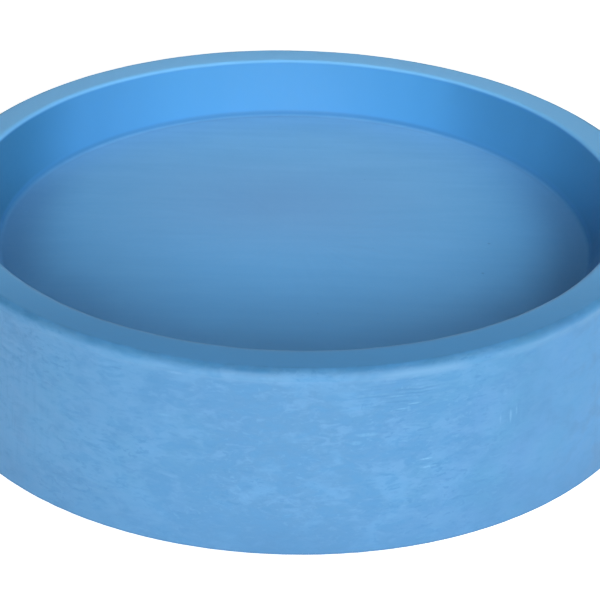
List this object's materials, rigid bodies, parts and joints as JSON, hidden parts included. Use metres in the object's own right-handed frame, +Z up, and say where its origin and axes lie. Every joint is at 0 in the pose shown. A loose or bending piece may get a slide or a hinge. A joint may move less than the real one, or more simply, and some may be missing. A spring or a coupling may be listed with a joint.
{
  "type": "mud pan",
  "caption": "Round shallow mud pan: a smooth dish with a thick flat-topped rim on a tall flared outer wall, closed below by a base plate on rubber feet.",
  "frame": {"origin": "centre of the plane that the feet stand on", "axes": "+Z up, along the pan's axis and out of the open dish; +X through foot_1; +Y to the back as seen by a user at -Y"},
  "size_m": [0.416, 0.416, 0.102],
  "materials": {
    "pan_plastic": "smooth satin blue plastic, lightly worn where the trowel rubs",
    "wall_plastic": "blue plastic, mottled and scuffed, with fine streaks round the wall",
    "base_plastic": "fine-grained matte blue plastic",
    "foot_rubber": "matte black rubber, dusty at the contact face",
    "fastener_steel": "zinc-plated steel"
  },
  "bodies": {
    "root": {"inner_pan": "pan_plastic", "outer_wall": "wall_plastic", "base_plate": "base_plastic", "foot_1": "foot_rubber", "foot_2": "foot_rubber", "foot_3": "foot_rubber", "foot_4": "foot_rubber", "foot_5": "foot_rubber", "foot_6": "foot_rubber", "foot_washer_1": "fastener_steel", "foot_washer_2": "fastener_steel", "foot_washer_3": "fastener_steel", "foot_washer_4": "fastener_steel", "foot_washer_5": "fastener_steel", "foot_washer_6": "fastener_steel", "foot_screw_1": "fastener_steel", "foot_screw_2": "fastener_steel", "foot_screw_3": "fastener_steel", "foot_screw_4": "fastener_steel", "foot_screw_5": "fastener_steel", "foot_screw_6": "fastener_steel"}
  },
  "joints": []
}
